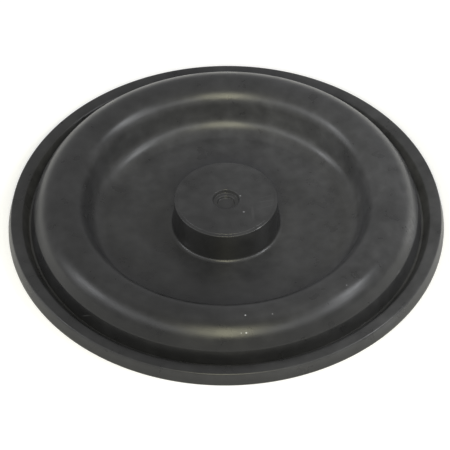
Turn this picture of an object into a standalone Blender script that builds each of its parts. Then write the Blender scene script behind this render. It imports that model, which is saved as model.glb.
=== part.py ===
"""A moulded rubber diaphragm in one piece: clamping rim, rolled convolution, flat web and solid boss.

Metres, +Z up. The axis is Z and the origin is the middle of the underside, on which the part rests.
"""
import math

import bpy

NAME = "diaphragm"

# The clamping rim, which is a flat raised bead, and the groove inside it
OUTER_RADIUS = 0.0825
RIM_THICKNESS = 0.0054
RIM_DRAFT = 0.0010
RIM_EDGE_ROUND = 0.0004
RIM_INNER_RADIUS = 0.0771
RIM_INNER_ROUND = 0.0006
GROOVE_SLANT_RUN = 0.0022
GROOVE_HEIGHT = 0.0022
GROOVE_ROUND = 0.0004

# The web, and the convolution rolled into it
WEB_THICKNESS = 0.0028
SHOULDER_RADIUS = 0.07265
SHOULDER_HEIGHT = 0.0087
SHOULDER_ROUND = 0.0016
OUTER_WALL_ANGLE = 80
FLANK_ANGLE = 57
CREST_HEIGHT = 0.0181
CROWN_OUTER_ROUND = 0.0108
CROWN_INNER_ROUND = 0.0079
INNER_WALL_ANGLE = 74
FOOT_ROUND = 0.0075
UNDERSIDE_EDGE_ROUND = 0.0012
UNDERSIDE_SHOULDER_ROUND = 0.0030

# The boss, and the stepped dimple in its top
BOSS_BASE_RADIUS = 0.0200
BOSS_TOP_RADIUS = 0.01965
BOSS_TOP_HEIGHT = 0.0158
BOSS_EDGE_ROUND = 0.0006
BOSS_FILLET = 0.0006
DIMPLE_RADIUS = 0.0051
DIMPLE_DEPTH = 0.0008
DIMPLE_CORE_RADIUS = 0.0034
DIMPLE_CORE_DEPTH = 0.0016
DIMPLE_DRAFT = 0.0003

# How finely the section and the turn are faceted
TURN_STEPS = 80
FACET_LENGTH = 0.0020
FEWEST_FACETS = 2
SAME_POINT = 0.00001
SHARP_ABOVE = 30

# The rubber's colour and finish
RUBBER_COLOUR = (0.035, 0.035, 0.036, 1.0)
RUBBER_ROUGHNESS = 0.42


def slope_run(rise, angle):
    """The horizontal run of a slope that rises so far at an angle in degrees."""
    return rise / math.tan(math.radians(angle))


def tangent_length(radius, turn):
    """How far from a corner its round begins, where the outline turns by an angle in degrees."""
    return radius * math.tan(math.radians(turn) / 2)


def heading(start, end):
    """The direction from one point to the next, in radians."""
    return math.atan2(end[1] - start[1], end[0] - start[0])


def turn_at(before, corner, after):
    """The angle in radians that the outline turns by at a corner, positive to the left."""
    turn = heading(corner, after) - heading(before, corner)
    return (turn + math.pi) % math.tau - math.pi


def rounded_corner(before, corner, after):
    """The points of the arc that rounds a corner of (r, z, round) between its two neighbours."""
    r, z, radius = corner
    if radius == 0:
        return [(r, z)]
    start = heading(before, corner)
    turn = turn_at(before, corner, after)
    setback = radius * math.tan(abs(turn) / 2)
    signed = math.copysign(radius, turn)
    centre_r = r - setback * math.cos(start) - signed * math.sin(start)
    centre_z = z - setback * math.sin(start) + signed * math.cos(start)
    facets = max(FEWEST_FACETS, math.ceil(radius * abs(turn) / FACET_LENGTH))
    angles = [start + turn * index / facets for index in range(facets + 1)]
    return [(centre_r + signed * math.sin(angle), centre_z - signed * math.cos(angle)) for angle in angles]


def rounded(corners):
    """An open outline through corners of (r, z, round), in which arcs that touch share their point."""
    outline = [corners[0][:2]]
    for before, corner, after in zip(corners, corners[1:], corners[2:]):
        for point in rounded_corner(before, corner, after):
            if math.dist(point, outline[-1]) > SAME_POINT:
                outline.append(point)
    outline.append(corners[-1][:2])
    return outline


def one_thickness_below(corners):
    """The inner corners of an outline that runs towards the axis, moved square to it through the web."""
    moved = []
    for before, corner, after in zip(corners, corners[1:], corners[2:]):
        turn = turn_at(before, corner, after)
        down = heading(before, corner) + turn / 2 + math.pi / 2
        reach = WEB_THICKNESS / math.cos(turn / 2)
        smaller_or_larger = corner[2] - math.copysign(WEB_THICKNESS, turn)
        moved.append((corner[0] + reach * math.cos(down), corner[1] + reach * math.sin(down), smaller_or_larger))
    return moved


def convolution():
    """The web's upper side from the groove's inner corner, over the convolution, in to the axis."""
    groove_corner = SHOULDER_RADIUS + slope_run(SHOULDER_HEIGHT - GROOVE_HEIGHT, OUTER_WALL_ANGLE)
    crown_outer = SHOULDER_RADIUS - slope_run(CREST_HEIGHT - SHOULDER_HEIGHT, FLANK_ANGLE)
    crest = crown_outer - tangent_length(CROWN_OUTER_ROUND, FLANK_ANGLE)
    crown_inner = crest - tangent_length(CROWN_INNER_ROUND, INNER_WALL_ANGLE)
    foot = crown_inner - slope_run(CREST_HEIGHT - WEB_THICKNESS, INNER_WALL_ANGLE)
    return [
        (groove_corner, GROOVE_HEIGHT, GROOVE_ROUND),
        (SHOULDER_RADIUS, SHOULDER_HEIGHT, SHOULDER_ROUND),
        (crown_outer, CREST_HEIGHT, CROWN_OUTER_ROUND),
        (crown_inner, CREST_HEIGHT, CROWN_INNER_ROUND),
        (foot, WEB_THICKNESS, FOOT_ROUND),
        (0, WEB_THICKNESS, 0),
    ]


def boss():
    """The boss from the middle of its dimple out and down to the web."""
    core_floor = BOSS_TOP_HEIGHT - DIMPLE_CORE_DEPTH
    step_floor = BOSS_TOP_HEIGHT - DIMPLE_DEPTH
    return [
        (0, core_floor, 0),
        (DIMPLE_CORE_RADIUS - DIMPLE_DRAFT, core_floor, 0),
        (DIMPLE_CORE_RADIUS, step_floor, 0),
        (DIMPLE_RADIUS - DIMPLE_DRAFT, step_floor, 0),
        (DIMPLE_RADIUS, BOSS_TOP_HEIGHT, 0),
        (BOSS_TOP_RADIUS, BOSS_TOP_HEIGHT, BOSS_EDGE_ROUND),
        (BOSS_BASE_RADIUS, WEB_THICKNESS, BOSS_FILLET),
    ]


def rim():
    """The rim from the groove's outer corner, over its flat top and down its drafted outer wall."""
    return [
        (RIM_INNER_RADIUS - GROOVE_SLANT_RUN, GROOVE_HEIGHT, GROOVE_ROUND),
        (RIM_INNER_RADIUS, RIM_THICKNESS, RIM_INNER_ROUND),
        (OUTER_RADIUS - RIM_DRAFT, RIM_THICKNESS, RIM_EDGE_ROUND),
        (OUTER_RADIUS, 0, RIM_EDGE_ROUND),
    ]


def underside(upper):
    """The underside from the rim's inner edge in to the axis, following the web's upper side."""
    shoulder, crown_outer, crown_inner, foot = one_thickness_below(upper)
    rim_edge = shoulder[0] + slope_run(shoulder[1], OUTER_WALL_ANGLE)
    return [
        (rim_edge, 0, UNDERSIDE_EDGE_ROUND),
        (shoulder[0], shoulder[1], UNDERSIDE_SHOULDER_ROUND),
        crown_outer,
        crown_inner,
        foot,
        (0, 0, 0),
    ]


def section():
    """The half section, from the axis out over the top, down the rim and in along the underside."""
    upper = convolution()
    outwards = upper[-2::-1]
    return rounded(boss() + outwards + rim() + underside(upper))


def turned(name, outline, collection):
    """A solid turned about Z from an outline that runs down its outer side."""
    profile = bpy.data.meshes.new(name + "_profile")
    points = [(r, 0, z) for r, z in outline]
    edges = [(index, index + 1) for index in range(len(points) - 1)]
    profile.from_pydata(points, edges, [])
    body = bpy.data.objects.new(name, profile)
    collection.objects.link(body)
    screw = body.modifiers.new("Turn", "SCREW")
    screw.steps = TURN_STEPS
    screw.render_steps = TURN_STEPS
    screw.use_merge_vertices = True
    screw.merge_threshold = SAME_POINT
    evaluated = body.evaluated_get(bpy.context.evaluated_depsgraph_get())
    body.data = bpy.data.meshes.new_from_object(evaluated)
    body.modifiers.remove(screw)
    bpy.data.meshes.remove(profile)
    body.data.shade_smooth()
    body.data.set_sharp_from_angle(angle=math.radians(SHARP_ABOVE))
    return body


def rubber():
    """Black moulded rubber with a soft sheen."""
    material = bpy.data.materials.new("rubber")
    material.use_nodes = True
    shader = material.node_tree.nodes["Principled BSDF"]
    shader.inputs["Base Color"].default_value = RUBBER_COLOUR
    shader.inputs["Roughness"].default_value = RUBBER_ROUGHNESS
    shader.inputs["Metallic"].default_value = 0.0
    return material


for old in list(bpy.data.objects):
    bpy.data.objects.remove(old, do_unlink=True)

parts = bpy.data.collections.new(NAME)
bpy.context.scene.collection.children.link(parts)
diaphragm = turned(NAME, section(), parts)
diaphragm.data.materials.append(rubber())
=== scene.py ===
"""The moulded rubber diaphragm as it was photographed, turned finely over its CAD frame."""
import math

import bpy
from mathutils import Euler, Matrix, Vector, noise

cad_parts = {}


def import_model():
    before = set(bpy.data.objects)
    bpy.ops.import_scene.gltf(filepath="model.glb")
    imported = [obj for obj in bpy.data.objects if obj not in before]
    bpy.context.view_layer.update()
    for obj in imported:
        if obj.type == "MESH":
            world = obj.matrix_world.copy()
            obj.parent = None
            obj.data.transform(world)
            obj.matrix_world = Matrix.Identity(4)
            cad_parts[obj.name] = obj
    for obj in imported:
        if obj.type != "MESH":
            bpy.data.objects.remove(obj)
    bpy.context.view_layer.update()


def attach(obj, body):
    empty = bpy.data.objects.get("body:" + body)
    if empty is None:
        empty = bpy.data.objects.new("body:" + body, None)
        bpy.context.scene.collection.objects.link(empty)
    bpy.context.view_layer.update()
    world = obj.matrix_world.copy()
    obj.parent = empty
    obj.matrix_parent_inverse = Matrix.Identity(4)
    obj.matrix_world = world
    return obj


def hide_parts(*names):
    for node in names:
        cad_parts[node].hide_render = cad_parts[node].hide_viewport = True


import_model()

# The clamping rim, which is a flat raised bead, and the groove inside it
OUTER_RADIUS = 0.0825
RIM_THICKNESS = 0.0054
RIM_DRAFT = 0.0010
RIM_EDGE_ROUND = 0.0007
RIM_FOOT_ROUND = 0.0004
RIM_INNER_RADIUS = 0.0771
RIM_INNER_ROUND = 0.0010
GROOVE_SLANT_RUN = 0.0025
GROOVE_HEIGHT = 0.0022
GROOVE_ROUND = 0.0001

# The web, and the convolution rolled into it
WEB_THICKNESS = 0.0028
SHOULDER_RADIUS = 0.07265
SHOULDER_HEIGHT = 0.0087
SHOULDER_ROUND = 0.0016
OUTER_WALL_ANGLE = 80
FLANK_ANGLE = 62
CREST_HEIGHT = 0.0181
CROWN_OUTER_ROUND = 0.0116
CROWN_INNER_ROUND = 0.0079
INNER_WALL_ANGLE = 74
FOOT_ROUND = 0.0075
UNDERSIDE_EDGE_ROUND = 0.0012
UNDERSIDE_SHOULDER_ROUND = 0.0030

# The boss with a shallow step round its top, and the stepped dimple in the middle
BOSS_BASE_RADIUS = 0.0200
BOSS_TOP_RADIUS = 0.01965
BOSS_TOP_HEIGHT = 0.0158
BOSS_EDGE_ROUND = 0.0004
BOSS_STEP_RADIUS = 0.0183
BOSS_STEP_DEPTH = 0.00008
BOSS_STEP_RUN = 0.00008
BOSS_FILLET = 0.0018
DIMPLE_RADIUS = 0.0051
DIMPLE_DEPTH = 0.0016
DIMPLE_CORE_RADIUS = 0.0034
DIMPLE_CORE_DEPTH = 0.0026
DIMPLE_DRAFT = 0.0003
DIMPLE_ROUND = 0.0003

# How finely the section and the turn are faceted
TURN_STEPS = 360
FACET_LENGTH = 0.0005
FEWEST_FACETS = 3
LONGEST_EDGE = 0.0022
SAME_POINT = 0.000005
SHARP_ABOVE = 40

# How uneven the moulding is
WAVE_HEIGHT = 0.00004
WAVE_SIZE = 0.03

# The rubber, how even its sheen is, and its fine grain
RUBBER_COLOUR = (0.0075, 0.0075, 0.0080, 1)
RUBBER_ROUGHNESS = 0.31
ROUGHNESS_SPREAD = 0.05
SHEEN_PATCH_SIZE = 0.008
SHEEN_PATCH_DETAIL = 4
GRAIN_SIZE = 0.0008
GRAIN_DETAIL = 2
GRAIN_HEIGHT = 0.000006

# The dust colour, and how much of the rubber gets it: overall as a dusty film with painted light that makes
# it lighter on the right and on the far side, painted shade on the dish's near part and painted light on its
# far part, painted light in the groove, and its patches
DUST_AND_PAINTED_LIGHT_COLOUR = (0.415, 0.42, 0.455, 1)
DUST_AND_PAINTED_LIGHT_NEAR = 0.036
DUST_AND_PAINTED_LIGHT_FAR = 0.054
PAINTED_LIGHT_RIGHT = 0.072
PAINTED_LIGHT_RIGHT_FROM = -0.1 * OUTER_RADIUS
PAINTED_SHADE_IN_DISH_NEAR = -0.014
PAINTED_LIGHT_IN_DISH_FAR = 0.043
DISH_RADIUS = 0.0545
DISH_EDGE = 0.005
PAINTED_LIGHT_IN_GROOVE = 0.045
GROOVE_LIGHT_RADIUS = SHOULDER_RADIUS + 0.0019
GROOVE_LIGHT_FROM = 0.4 * OUTER_RADIUS
GROOVE_LIGHT_FULL = 0.9 * OUTER_RADIUS
GROOVE_LIGHT_EDGE = 0.0006
PATCH_SIZE = 0.016
PATCH_DETAIL = 5
PATCH_SPREAD = 0.30
SMALL_PATCH_SIZE = 0.004
SMALL_PATCH_DETAIL = 3
SMALL_PATCH_SPREAD = 0.14

# Painted shade: how much of that stays on the upright sides and on the near wall of the convolution, which
# come out darker
UPRIGHT_SHARE = 0.50
WALL_SHARE = 0.50
WALL_RADIUS = 0.0655
WALL_EDGE = 0.002
WALL_FULL = -0.6 * OUTER_RADIUS
WALL_UNTIL = -0.15 * OUTER_RADIUS
BOSS_SHADE_LIMIT = BOSS_BASE_RADIUS + BOSS_FILLET / 4
BOSS_SHADE_EDGE = 0.0003
RIM_SHADE_EDGE = 0.0006

# Two radii that hold the whole part between them, for a band that is open on one side
BELOW_ALL = -1
BEYOND_ALL = 1

# The middle part of a noise texture's range
NOISE_LOW = 0.3
NOISE_HIGH = 0.7

# A Mix node's colour sockets, which go by number because its other kinds of input have the same names
MIX_FIRST = 6
MIX_SECOND = 7
MIX_RESULT = 2

# The camera, which stands far off with a very long lens
CAMERA_ELEVATION = 45.85
CAMERA_DISTANCE = 6.6
CAMERA_ROLL = -0.5
LENS = 1395
SENSOR = 36
CLIP_START = 0.1
CLIP_END = 30
TARGET = (-0.00045, 0.0, 0.00185)

# The specks, scratches and other marks on the rubber, and a painted glint on the boss's edge: centre,
# direction of the length, half length, half width, and strength
MARKS_AND_PAINTED_GLINT = [
    ((0.0053, -0.0690, 0.0146), (1, 0, 0), 0.00030, 0.00030, 0.9),
    ((0.0072, -0.0688, 0.0145), (1, 0, 0), 0.00045, 0.00035, 1.0),
    ((0.0069, -0.0628, 0.0179), (1, 0, 0), 0.00040, 0.00035, 1.0),
    ((0.0146, -0.0637, 0.0176), (1, 0, 0), 0.00045, 0.00035, 0.45),
    ((0.0171, -0.0620, 0.0177), (1, 0, 0), 0.00045, 0.00035, 0.45),
    ((0.0450, -0.0469, 0.0170), (1, 0, 0), 0.00040, 0.00035, 1.0),
    ((0.0054, 0.0018, 0.0158), (1, 0, 0), 0.00035, 0.00035, 0.5),
    ((0.0067, -0.0067, 0.0158), (1, 0, 0), 0.00050, 0.00045, 0.4),
    ((-0.0530, -0.0506, 0.0056), (0.44, -0.36, 0.42), 0.0034, 0.00028, 0.08),
    ((0.0649, -0.0326, 0.0090), (0.45, 0.89, 0), 0.0018, 0.00060, 0.08),
    ((0.0101, -0.0076, 0.0158), (0.06, -1, 0), 0.0042, 0.00070, 0.03),
    ((0.0145, -0.0012, 0.0158), (1, 0.18, 0), 0.0048, 0.00016, 0.05),
    ((0.0150, 0.0012, 0.0158), (1, 0.30, 0), 0.0040, 0.00014, 0.05),
    ((0.0158, -0.0040, 0.0158), (1, 0.35, 0), 0.0034, 0.00014, 0.04),
    # A painted glint: a lamp's highlight on the boss's top edge
    ((0.0124, -0.0151, 0.0157), (0.77, 0.63, 0), 0.0018, 0.00030, 0.30),
]
MARK_CORE = 0.5

# The dusty smear on the right side of the convolution
SMEAR_CENTRE = (0.0700, -0.0105, 0.0115)
SMEAR_DIRECTION = (0.15, 0.99, 0)
SMEAR_HALF_LENGTH = 0.0150
SMEAR_HALF_WIDTH = 0.0048
SMEAR_STRENGTH = 0.16
SMEAR_CORE = 0.2
SPECKLE_SIZE = 0.0014
SPECKLE_DETAIL = 3
SPECKLE_LEAST = 0.1

# The floor, which looks white to the camera, and the even light from all round
WHITE = (1, 1, 1, 1)
FLOOR_SIZE = 40
FLOOR_COLOUR = (0.7, 0.7, 0.7, 1)
FLOOR_ROUGHNESS = 0.9
FLOOR_GLOW_FOR_CAMERA = 0.42
FLOOR_GLOW_IN_REFLECTIONS = 0.25
SKY_STRENGTH = 0.4

# The lamps: name, azimuth and elevation in degrees, distance and size in metres, power in watts, and colour
COOL = (0.97, 0.985, 1.02)
WARM = (1.0, 0.97, 0.68)
LAMPS = [
    ("flash", 0, 42, 2.0, 0.80, 7.4, WARM),
    ("flash_core", 0, 42, 2.0, 0.35, 5.6, WARM),
    ("front_low", 0, 36, 1.5, 0.50, 1.8, WARM),
    ("front_high", 0, 54, 1.5, 0.50, 1.7, WARM),
    ("left_front", -30, 36, 1.5, 0.50, 1.3, COOL),
    ("right_front", 30, 36, 1.5, 0.50, 1.6, COOL),
    ("left_near", -60, 36, 1.5, 0.50, 1.6, COOL),
    ("right_near", 60, 36, 1.5, 0.50, 1.4, COOL),
    ("left_low", -90, 20, 1.5, 0.50, 1.3, COOL),
    ("left_spot", -85, 32, 1.5, 0.30, 2.0, COOL),
    ("right_spot", 75, 34, 1.5, 0.28, 1.5, COOL),
    ("right_high", 86, 45, 1.5, 0.25, 3.1, COOL),
]


def slope_run(rise, angle):
    """The horizontal run of a slope that rises so far at an angle in degrees."""
    return rise / math.tan(math.radians(angle))


def tangent_length(radius, turn):
    """How far from a corner its round begins, where the outline turns by an angle in degrees."""
    return radius * math.tan(math.radians(turn) / 2)


def heading(start, end):
    """The direction from one point to the next, in radians."""
    return math.atan2(end[1] - start[1], end[0] - start[0])


def turn_at(before, corner, after):
    """The angle in radians that the outline turns by at a corner, positive to the left."""
    turn = heading(corner, after) - heading(before, corner)
    return (turn + math.pi) % math.tau - math.pi


def rounded_corner(before, corner, after):
    """The points of the arc that rounds a corner of (r, z, round) between its two neighbours."""
    r, z, radius = corner
    if radius == 0:
        return [(r, z)]
    start = heading(before, corner)
    turn = turn_at(before, corner, after)
    setback = radius * math.tan(abs(turn) / 2)
    signed = math.copysign(radius, turn)
    centre_r = r - setback * math.cos(start) - signed * math.sin(start)
    centre_z = z - setback * math.sin(start) + signed * math.cos(start)
    facets = max(FEWEST_FACETS, math.ceil(radius * abs(turn) / FACET_LENGTH))
    angles = [start + turn * index / facets for index in range(facets + 1)]
    return [(centre_r + signed * math.sin(angle), centre_z - signed * math.cos(angle)) for angle in angles]


def rounded(corners):
    """An open outline through corners of (r, z, round), in which arcs that touch share their point."""
    outline = [corners[0][:2]]
    for before, corner, after in zip(corners, corners[1:], corners[2:]):
        for point in rounded_corner(before, corner, after):
            if math.dist(point, outline[-1]) > SAME_POINT:
                outline.append(point)
    outline.append(corners[-1][:2])
    return outline


def cut_finer(outline):
    """The same outline with its long straight runs cut into short ones."""
    points = [outline[0]]
    for start, end in zip(outline, outline[1:]):
        pieces = max(1, math.ceil(math.dist(start, end) / LONGEST_EDGE))
        for index in range(1, pieces + 1):
            share = index / pieces
            points.append((start[0] + (end[0] - start[0]) * share, start[1] + (end[1] - start[1]) * share))
    return points


def one_thickness_below(corners):
    """The inner corners of an outline that runs towards the axis, moved square to it through the web."""
    moved = []
    for before, corner, after in zip(corners, corners[1:], corners[2:]):
        turn = turn_at(before, corner, after)
        down = heading(before, corner) + turn / 2 + math.pi / 2
        reach = WEB_THICKNESS / math.cos(turn / 2)
        smaller_or_larger = corner[2] - math.copysign(WEB_THICKNESS, turn)
        r = corner[0] + reach * math.cos(down)
        z = corner[1] + reach * math.sin(down)
        moved.append((r, z, smaller_or_larger))
    return moved


def convolution():
    """The web's upper side from the groove's inner corner, over the convolution, in to the axis."""
    groove_corner = SHOULDER_RADIUS + slope_run(SHOULDER_HEIGHT - GROOVE_HEIGHT, OUTER_WALL_ANGLE)
    crown_outer = SHOULDER_RADIUS - slope_run(CREST_HEIGHT - SHOULDER_HEIGHT, FLANK_ANGLE)
    crest = crown_outer - tangent_length(CROWN_OUTER_ROUND, FLANK_ANGLE)
    crown_inner = crest - tangent_length(CROWN_INNER_ROUND, INNER_WALL_ANGLE)
    foot = crown_inner - slope_run(CREST_HEIGHT - WEB_THICKNESS, INNER_WALL_ANGLE)
    return [
        (groove_corner, GROOVE_HEIGHT, GROOVE_ROUND),
        (SHOULDER_RADIUS, SHOULDER_HEIGHT, SHOULDER_ROUND),
        (crown_outer, CREST_HEIGHT, CROWN_OUTER_ROUND),
        (crown_inner, CREST_HEIGHT, CROWN_INNER_ROUND),
        (foot, WEB_THICKNESS, FOOT_ROUND),
        (0, WEB_THICKNESS, 0),
    ]


def boss():
    """The boss from the middle of its dimple out and down to the web."""
    core_floor = BOSS_TOP_HEIGHT - DIMPLE_CORE_DEPTH
    step_floor = BOSS_TOP_HEIGHT - DIMPLE_DEPTH
    outer_top = BOSS_TOP_HEIGHT - BOSS_STEP_DEPTH
    return [
        (0, core_floor, 0),
        (DIMPLE_CORE_RADIUS - DIMPLE_DRAFT, core_floor, DIMPLE_ROUND),
        (DIMPLE_CORE_RADIUS, step_floor, DIMPLE_ROUND),
        (DIMPLE_RADIUS - DIMPLE_DRAFT, step_floor, DIMPLE_ROUND),
        (DIMPLE_RADIUS, BOSS_TOP_HEIGHT, DIMPLE_ROUND),
        (BOSS_STEP_RADIUS, BOSS_TOP_HEIGHT, 0),
        (BOSS_STEP_RADIUS + BOSS_STEP_RUN, outer_top, 0),
        (BOSS_TOP_RADIUS, outer_top, BOSS_EDGE_ROUND),
        (BOSS_BASE_RADIUS, WEB_THICKNESS, BOSS_FILLET),
    ]


def rim():
    """The rim from the groove's outer corner, over its flat top and down its drafted outer wall."""
    return [
        (RIM_INNER_RADIUS - GROOVE_SLANT_RUN, GROOVE_HEIGHT, GROOVE_ROUND),
        (RIM_INNER_RADIUS, RIM_THICKNESS, RIM_INNER_ROUND),
        (OUTER_RADIUS - RIM_DRAFT, RIM_THICKNESS, RIM_EDGE_ROUND),
        (OUTER_RADIUS, 0, RIM_FOOT_ROUND),
    ]


def underside(upper):
    """The underside from the rim's inner edge in to the axis, following the web's upper side."""
    shoulder, crown_outer, crown_inner, foot = one_thickness_below(upper)
    rim_edge = shoulder[0] + slope_run(shoulder[1], OUTER_WALL_ANGLE)
    return [
        (rim_edge, 0, UNDERSIDE_EDGE_ROUND),
        (shoulder[0], shoulder[1], UNDERSIDE_SHOULDER_ROUND),
        crown_outer,
        crown_inner,
        foot,
        (0, 0, 0),
    ]


def section():
    """The half section, from the axis out over the top, down the rim and in along the underside."""
    upper = convolution()
    outwards = upper[-2::-1]
    return cut_finer(rounded(boss() + outwards + rim() + underside(upper)))


def turned(name, outline):
    """A solid turned about Z from an outline that runs down its outer side."""
    profile = bpy.data.meshes.new(name + "_profile")
    points = [(r, 0, z) for r, z in outline]
    edges = [(index, index + 1) for index in range(len(points) - 1)]
    profile.from_pydata(points, edges, [])
    body = bpy.data.objects.new(name, profile)
    bpy.context.scene.collection.objects.link(body)
    screw = body.modifiers.new("Turn", "SCREW")
    screw.steps = TURN_STEPS
    screw.render_steps = TURN_STEPS
    screw.use_merge_vertices = True
    screw.merge_threshold = SAME_POINT
    evaluated = body.evaluated_get(bpy.context.evaluated_depsgraph_get())
    body.data = bpy.data.meshes.new_from_object(evaluated)
    body.modifiers.remove(screw)
    bpy.data.meshes.remove(profile)
    body.data.shade_smooth()
    body.data.set_sharp_from_angle(angle=math.radians(SHARP_ABOVE))
    return body


def unevenness(point):
    """How far the moulding lies off its true form at a point, in metres."""
    return WAVE_HEIGHT * noise.noise(Vector(point) / WAVE_SIZE)


def unevenly_moulded(body):
    """Lowers and raises the moulding a little, less the lower it lies, so that it still rests flat."""
    for vertex in body.data.vertices:
        height = vertex.co.z / CREST_HEIGHT
        vertex.co.z += unevenness(vertex.co) * min(1, max(0, height))


def shader_node(tree, kind, values=(), **settings):
    """A new node with its settings, and with each named input set to a value or joined to an output."""
    node = tree.nodes.new(kind)
    for name, setting in settings.items():
        setattr(node, name, setting)
    for socket, value in values:
        if isinstance(value, bpy.types.NodeSocket):
            tree.links.new(value, node.inputs[socket])
        else:
            node.inputs[socket].default_value = value
    return node


def calculated(tree, operation, first, second):
    """The sum, product or larger one of two values or outputs."""
    return shader_node(tree, "ShaderNodeMath", ((0, first), (1, second)), operation=operation).outputs[0]


def spread(tree, value, low, high, start, end):
    """A value that runs from start to end while the input runs from low to high."""
    limits = (("Value", value), ("From Min", low), ("From Max", high), ("To Min", start), ("To Max", end))
    return shader_node(tree, "ShaderNodeMapRange", limits).outputs["Result"]


def band(tree, value, low, high, edge):
    """One while a value lies between two limits and 0 outside them, with soft edges."""
    rise = spread(tree, value, low - edge / 2, low + edge / 2, 0, 1)
    fall = spread(tree, value, high - edge / 2, high + edge / 2, 1, 0)
    return calculated(tree, "MULTIPLY", rise, fall)


def clouds(tree, place, size, detail, start, end):
    """Soft patches of about one size in metres, mostly between two values."""
    pattern = (("Vector", place), ("Scale", 1 / size), ("Detail", detail))
    texture = shader_node(tree, "ShaderNodeTexNoise", pattern)
    limits = (("Value", texture.outputs["Fac"]), ("From Min", NOISE_LOW), ("From Max", NOISE_HIGH),
              ("To Min", start), ("To Max", end))
    return shader_node(tree, "ShaderNodeMapRange", limits, clamp=False).outputs["Result"]


def mark(tree, place, centre, direction, half_length, half_width, strength, core):
    """A long or round mark that is full strength in its core and fades out to its edge."""
    turn = Vector(direction).to_track_quat("X", "Z").to_euler()
    values = (("Vector", place), ("Location", centre), ("Rotation", turn),
              ("Scale", (half_length, half_width, half_width)))
    local = shader_node(tree, "ShaderNodeMapping", values, vector_type="TEXTURE").outputs[0]
    reach = shader_node(tree, "ShaderNodeVectorMath", ((0, local),), operation="LENGTH").outputs["Value"]
    return spread(tree, reach, core, 1, strength, 0)


def distance_from_axis(tree, place):
    """How far a place lies from the axis of revolution, in metres."""
    flat = shader_node(tree, "ShaderNodeVectorMath", ((0, place), (1, (1, 1, 0))), operation="MULTIPLY")
    length = shader_node(tree, "ShaderNodeVectorMath", ((0, flat.outputs[0]),), operation="LENGTH")
    return length.outputs["Value"]


def dust_and_painted_light_overall(tree, x, y, radius):
    """The film before its patches: dust with painted light, more of it far off and on the right and rising
    faster across the dish, and painted shade on the dish's near part.
    """
    right = spread(tree, x, PAINTED_LIGHT_RIGHT_FROM, OUTER_RADIUS, 0, PAINTED_LIGHT_RIGHT)
    far = spread(tree, y, -OUTER_RADIUS, OUTER_RADIUS, DUST_AND_PAINTED_LIGHT_NEAR, DUST_AND_PAINTED_LIGHT_FAR)
    in_dish = spread(tree, y, -DISH_RADIUS, DISH_RADIUS, PAINTED_SHADE_IN_DISH_NEAR, PAINTED_LIGHT_IN_DISH_FAR)
    dish = calculated(tree, "MULTIPLY", in_dish, band(tree, radius, BELOW_ALL, DISH_RADIUS, DISH_EDGE))
    return calculated(tree, "ADD", calculated(tree, "ADD", right, far), dish)


def painted_shade_on_uprights(tree, y, radius):
    """Painted shade: the share of the film that stays on the boss's side, the rim's outer wall and the near
    wall, which come out darker.
    """
    boss_side = band(tree, radius, BOSS_TOP_RADIUS, BOSS_SHADE_LIMIT, BOSS_SHADE_EDGE)
    rim_wall = band(tree, radius, OUTER_RADIUS - RIM_DRAFT / 2, BEYOND_ALL, RIM_SHADE_EDGE)
    uprights = calculated(tree, "MAXIMUM", boss_side, rim_wall)
    wall = band(tree, radius, WALL_RADIUS, RIM_INNER_RADIUS - GROOVE_SLANT_RUN, WALL_EDGE)
    near_wall = calculated(tree, "MULTIPLY", wall, spread(tree, y, WALL_FULL, WALL_UNTIL, 1, 0))
    return calculated(tree, "MULTIPLY", spread(tree, uprights, 0, 1, 1, UPRIGHT_SHARE),
                      spread(tree, near_wall, 0, 1, 1, WALL_SHARE))


def painted_light_in_groove(tree, x, radius):
    """Painted light that lightens the shaded groove on the left and right sides."""
    sideways = shader_node(tree, "ShaderNodeMath", ((0, x),), operation="ABSOLUTE").outputs[0]
    sides = spread(tree, sideways, GROOVE_LIGHT_FROM, GROOVE_LIGHT_FULL, 0, PAINTED_LIGHT_IN_GROOVE)
    return calculated(tree, "MULTIPLY", sides,
                      band(tree, radius, GROOVE_LIGHT_RADIUS, RIM_INNER_RADIUS, GROOVE_LIGHT_EDGE))


def film_of_dust_and_painted_light(tree, place):
    """How much of the rubber gets the dust colour at a place: a film of dust with painted light and shade in
    it.
    """
    split = shader_node(tree, "ShaderNodeSeparateXYZ", ((0, place),))
    x, y = split.outputs["X"], split.outputs["Y"]
    radius = distance_from_axis(tree, place)
    held = calculated(tree, "MULTIPLY", dust_and_painted_light_overall(tree, x, y, radius), painted_shade_on_uprights(tree, y, radius))
    even = calculated(tree, "ADD", held, painted_light_in_groove(tree, x, radius))
    large = clouds(tree, place, PATCH_SIZE, PATCH_DETAIL, 1 - PATCH_SPREAD, 1 + PATCH_SPREAD)
    small = clouds(tree, place, SMALL_PATCH_SIZE, SMALL_PATCH_DETAIL,
                   1 - SMALL_PATCH_SPREAD, 1 + SMALL_PATCH_SPREAD)
    return calculated(tree, "MULTIPLY", even, calculated(tree, "MULTIPLY", large, small))


def smear_marks_and_painted_glint(tree, place, dust_and_painted_light):
    """The film with the speckled smear, the small marks and the painted glint added to it."""
    smear = mark(tree, place, SMEAR_CENTRE, SMEAR_DIRECTION, SMEAR_HALF_LENGTH, SMEAR_HALF_WIDTH,
                 SMEAR_STRENGTH, SMEAR_CORE)
    speckle = clouds(tree, place, SPECKLE_SIZE, SPECKLE_DETAIL, SPECKLE_LEAST, 1)
    dust_and_painted_light = calculated(tree, "ADD", dust_and_painted_light, calculated(tree, "MULTIPLY", smear, speckle))
    for centre, direction, half_length, half_width, strength in MARKS_AND_PAINTED_GLINT:
        one = mark(tree, place, centre, direction, half_length, half_width, strength, MARK_CORE)
        dust_and_painted_light = calculated(tree, "ADD", dust_and_painted_light, one)
    return dust_and_painted_light


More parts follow.
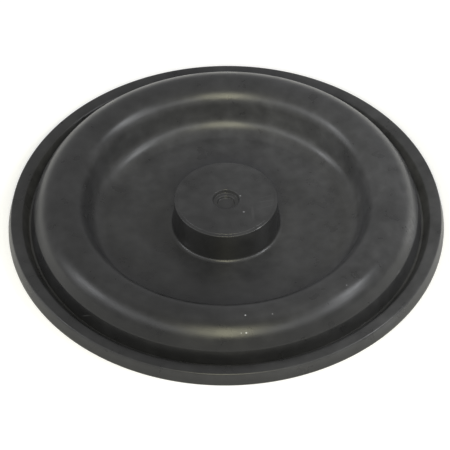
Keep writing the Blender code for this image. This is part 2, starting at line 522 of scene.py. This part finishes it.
def rubber():
    """Black moulded rubber with a soft sheen, a thin dusty film with painted light and shade in it, small
    marks, a painted glint and a fine grain.
    """
    material = bpy.data.materials.new("rubber")
    material.use_nodes = True
    tree = material.node_tree
    shader = tree.nodes["Principled BSDF"]
    place = shader_node(tree, "ShaderNodeTexCoord").outputs["Object"]

    dust_and_painted_light = smear_marks_and_painted_glint(tree, place, film_of_dust_and_painted_light(tree, place))
    # The dust colour is mixed in by the film, which is dust with painted light and shade in it
    colour = shader_node(tree, "ShaderNodeMix", ((0, dust_and_painted_light),), data_type="RGBA")
    colour.inputs[MIX_FIRST].default_value = RUBBER_COLOUR
    colour.inputs[MIX_SECOND].default_value = DUST_AND_PAINTED_LIGHT_COLOUR
    tree.links.new(colour.outputs[MIX_RESULT], shader.inputs["Base Color"])

    low, high = RUBBER_ROUGHNESS - ROUGHNESS_SPREAD, RUBBER_ROUGHNESS + ROUGHNESS_SPREAD
    sheen = clouds(tree, place, SHEEN_PATCH_SIZE, SHEEN_PATCH_DETAIL, low, high)
    tree.links.new(sheen, shader.inputs["Roughness"])

    grain = clouds(tree, place, GRAIN_SIZE, GRAIN_DETAIL, 0, GRAIN_HEIGHT)
    bump = shader_node(tree, "ShaderNodeBump", (("Height", grain), ("Distance", 1.0), ("Strength", 1.0)))
    tree.links.new(bump.outputs["Normal"], shader.inputs["Normal"])
    return material


def camera():
    """The camera at the photograph's angle, rolled a little so that the right side is higher."""
    elevation = math.radians(CAMERA_ELEVATION)
    data = bpy.data.cameras.new("camera")
    data.lens = LENS
    data.sensor_width = SENSOR
    data.clip_start = CLIP_START
    data.clip_end = CLIP_END
    eye = bpy.data.objects.new("camera", data)
    bpy.context.scene.collection.objects.link(eye)
    away = Vector((0, -math.cos(elevation), math.sin(elevation)))
    look = Euler((math.pi / 2 - elevation, 0, 0)).to_matrix().to_4x4()
    roll = Matrix.Rotation(math.radians(CAMERA_ROLL), 4, "Z")
    eye.matrix_world = Matrix.Translation(Vector(TARGET) + away * CAMERA_DISTANCE) @ look @ roll
    bpy.context.scene.camera = eye


def lamp(name, azimuth, elevation, distance, size, power, colour):
    """A soft square lamp that faces the part. Azimuth 0 is on the camera's side, and 90 is to its right."""
    data = bpy.data.lights.new(name, "AREA")
    data.shape = "SQUARE"
    data.size = size
    data.energy = power
    data.color = colour
    light = bpy.data.objects.new(name, data)
    bpy.context.scene.collection.objects.link(light)
    turn, rise = math.radians(azimuth), math.radians(elevation)
    towards = Vector((math.sin(turn) * math.cos(rise), -math.cos(turn) * math.cos(rise), math.sin(rise)))
    light.location = towards * distance
    light.rotation_euler = towards.to_track_quat("Z", "Y").to_euler()
    light.visible_camera = False


def floor():
    """A pale floor that the camera sees as white, and that keeps the shadow."""
    bpy.ops.mesh.primitive_plane_add(size=FLOOR_SIZE, location=(0, 0, 0))
    plane = bpy.context.object
    plane.name = "floor"
    material = bpy.data.materials.new("floor")
    material.use_nodes = True
    tree = material.node_tree
    shader = tree.nodes["Principled BSDF"]
    shader.inputs["Base Color"].default_value = FLOOR_COLOUR
    shader.inputs["Roughness"].default_value = FLOOR_ROUGHNESS
    path = shader_node(tree, "ShaderNodeLightPath")
    to_camera = calculated(tree, "MULTIPLY", path.outputs["Is Camera Ray"], FLOOR_GLOW_FOR_CAMERA)
    to_gloss = calculated(tree, "MULTIPLY", path.outputs["Is Glossy Ray"], FLOOR_GLOW_IN_REFLECTIONS)
    shader.inputs["Emission Color"].default_value = WHITE
    tree.links.new(calculated(tree, "ADD", to_camera, to_gloss), shader.inputs["Emission Strength"])
    plane.data.materials.append(material)


def world():
    """A little even light from all round, and white where the camera looks past the floor."""
    sky = bpy.data.worlds.new("world")
    bpy.context.scene.world = sky
    sky.use_nodes = True
    tree = sky.node_tree
    background = tree.nodes["Background"]
    background.inputs["Color"].default_value = WHITE
    path = shader_node(tree, "ShaderNodeLightPath")
    strength = spread(tree, path.outputs["Is Camera Ray"], 0, 1, SKY_STRENGTH, 1)
    tree.links.new(strength, background.inputs["Strength"])


diaphragm = turned("moulding", section())
unevenly_moulded(diaphragm)
diaphragm.data.materials.append(rubber())
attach(diaphragm, "root")
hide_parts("diaphragm")

bpy.context.scene.view_settings.view_transform = "Standard"
camera()
world()
floor()

for settings in LAMPS:
    lamp(*settings)
